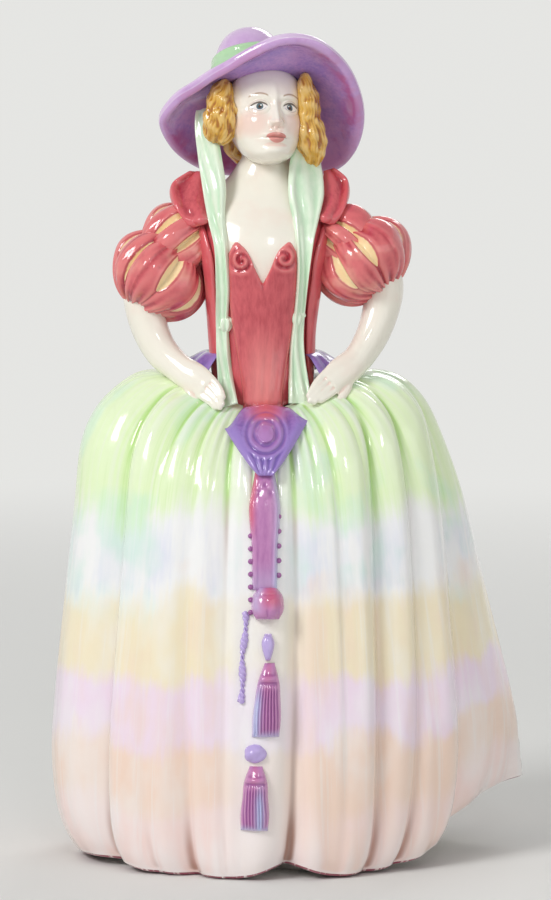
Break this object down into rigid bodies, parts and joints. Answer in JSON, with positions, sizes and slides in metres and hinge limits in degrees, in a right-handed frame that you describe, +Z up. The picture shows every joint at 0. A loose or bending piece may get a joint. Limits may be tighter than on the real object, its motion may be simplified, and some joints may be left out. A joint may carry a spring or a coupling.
{
  "type": "crinoline lady figurine",
  "caption": "Standing lady in a full pleated skirt, puffed sleeves and a wide drooping hat, hands on her hips; a glazed china ornament that rests on its own flat base.",
  "frame": {"origin": "on the flat underside of the base disc, straight below the waist", "axes": "+Z up, the figure faces -Y, and her left hand is on +X"},
  "size_m": [0.1187, 0.0916, 0.2068],
  "materials": {
    "skirt_glaze": "gloss glaze over soft painted bands: green, white, peach-yellow, lilac, peach and pink",
    "base_glaze": "thin glaze, slightly mottled",
    "skin_glaze": "gloss glaze over ivory white",
    "bodice_glaze": "gloss glaze over streaky crimson",
    "hair_glaze": "gloss glaze over golden ochre",
    "hat_glaze": "gloss glaze over lilac, darker under the brim",
    "ribbon_glaze": "gloss glaze over pale green",
    "sash_glaze": "gloss glaze over purple",
    "girdle_glaze": "gloss glaze over magenta shaded to lilac-blue"
  },
  "bodies": {
    "root": {"skirt_shell": "skirt_glaze", "base_disc": "base_glaze", "head": "skin_glaze", "torso": "bodice_glaze", "hair_right": "hair_glaze", "hair_left": "hair_glaze", "hair_back": "hair_glaze", "hat_crown": "hat_glaze", "hat_brim": "hat_glaze", "hat_band": "ribbon_glaze", "arm_right": "skin_glaze", "arm_left": "skin_glaze", "sleeve_upper_right": "bodice_glaze", "sleeve_lower_right": "bodice_glaze", "sleeve_upper_left": "bodice_glaze", "sleeve_lower_left": "bodice_glaze", "bodice_panel": "bodice_glaze", "sash_point": "sash_glaze", "ribbon_right": "ribbon_glaze", "ribbon_left": "ribbon_glaze", "collar_right": "bodice_glaze", "collar_left": "bodice_glaze", "jacket_flap_right": "bodice_glaze", "jacket_flap_left": "bodice_glaze", "sash_basque": "sash_glaze", "girdle_strap": "girdle_glaze", "girdle_tulip": "girdle_glaze", "girdle_bead": "sash_glaze", "girdle_tassel_upper": "girdle_glaze", "girdle_knob": "sash_glaze", "girdle_tassel_lower": "girdle_glaze", "girdle_strand": "sash_glaze"}
  },
  "joints": []
}
